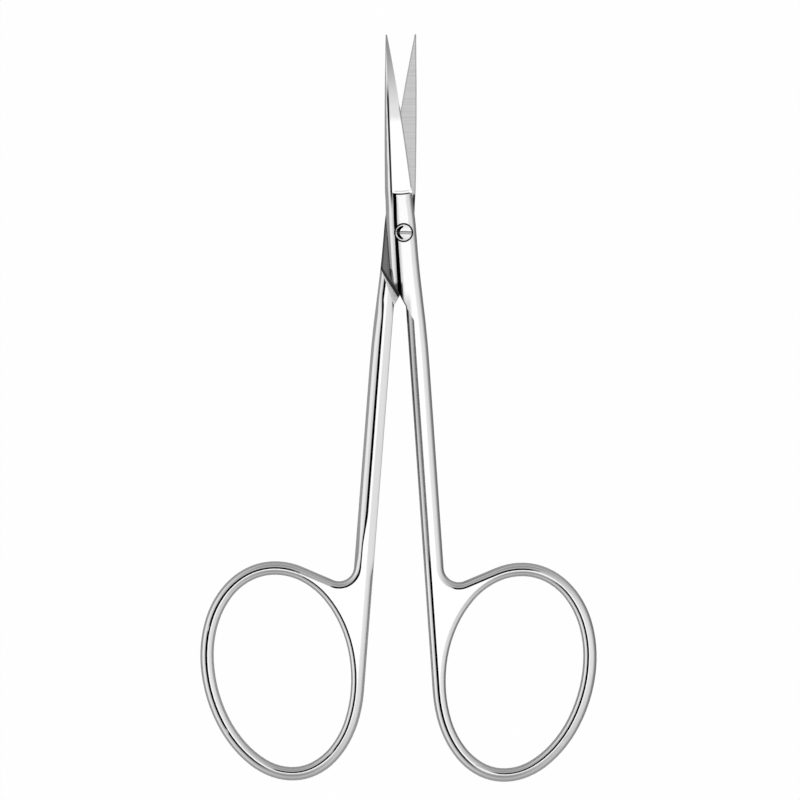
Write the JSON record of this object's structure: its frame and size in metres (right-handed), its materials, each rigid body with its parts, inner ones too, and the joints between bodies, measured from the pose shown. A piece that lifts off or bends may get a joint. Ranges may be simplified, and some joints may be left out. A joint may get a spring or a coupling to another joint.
{
  "type": "ophthalmic scissors",
  "caption": "Slim straight surgical scissors for eye work, with fine pointed blades, long tapered shanks, oval finger rings and a slotted pivot screw.",
  "frame": {"origin": "on the axis of the pivot screw, at the underside that the scissors lie on", "axes": "+Y towards the blade tips, +Z along the pivot towards the screw's slotted head, +X towards the front half's finger ring"},
  "size_m": [0.0609, 0.115, 0.0036],
  "materials": {
    "polished_steel": "mirror polished stainless steel, with satin ground laps and blade insides",
    "screw_steel": "polished stainless steel"
  },
  "bodies": {
    "rear": {"rear_half": "polished_steel", "pivot_screw": "screw_steel"},
    "front": {"front_half": "polished_steel"}
  },
  "joints": [
    {"name": "pivot", "type": "hinge", "parent": "rear", "child": "front", "pos_m": [0, 0, 0], "axis": [0, 0, 1], "range_deg": [-8.4, 81.6]}
  ]
}
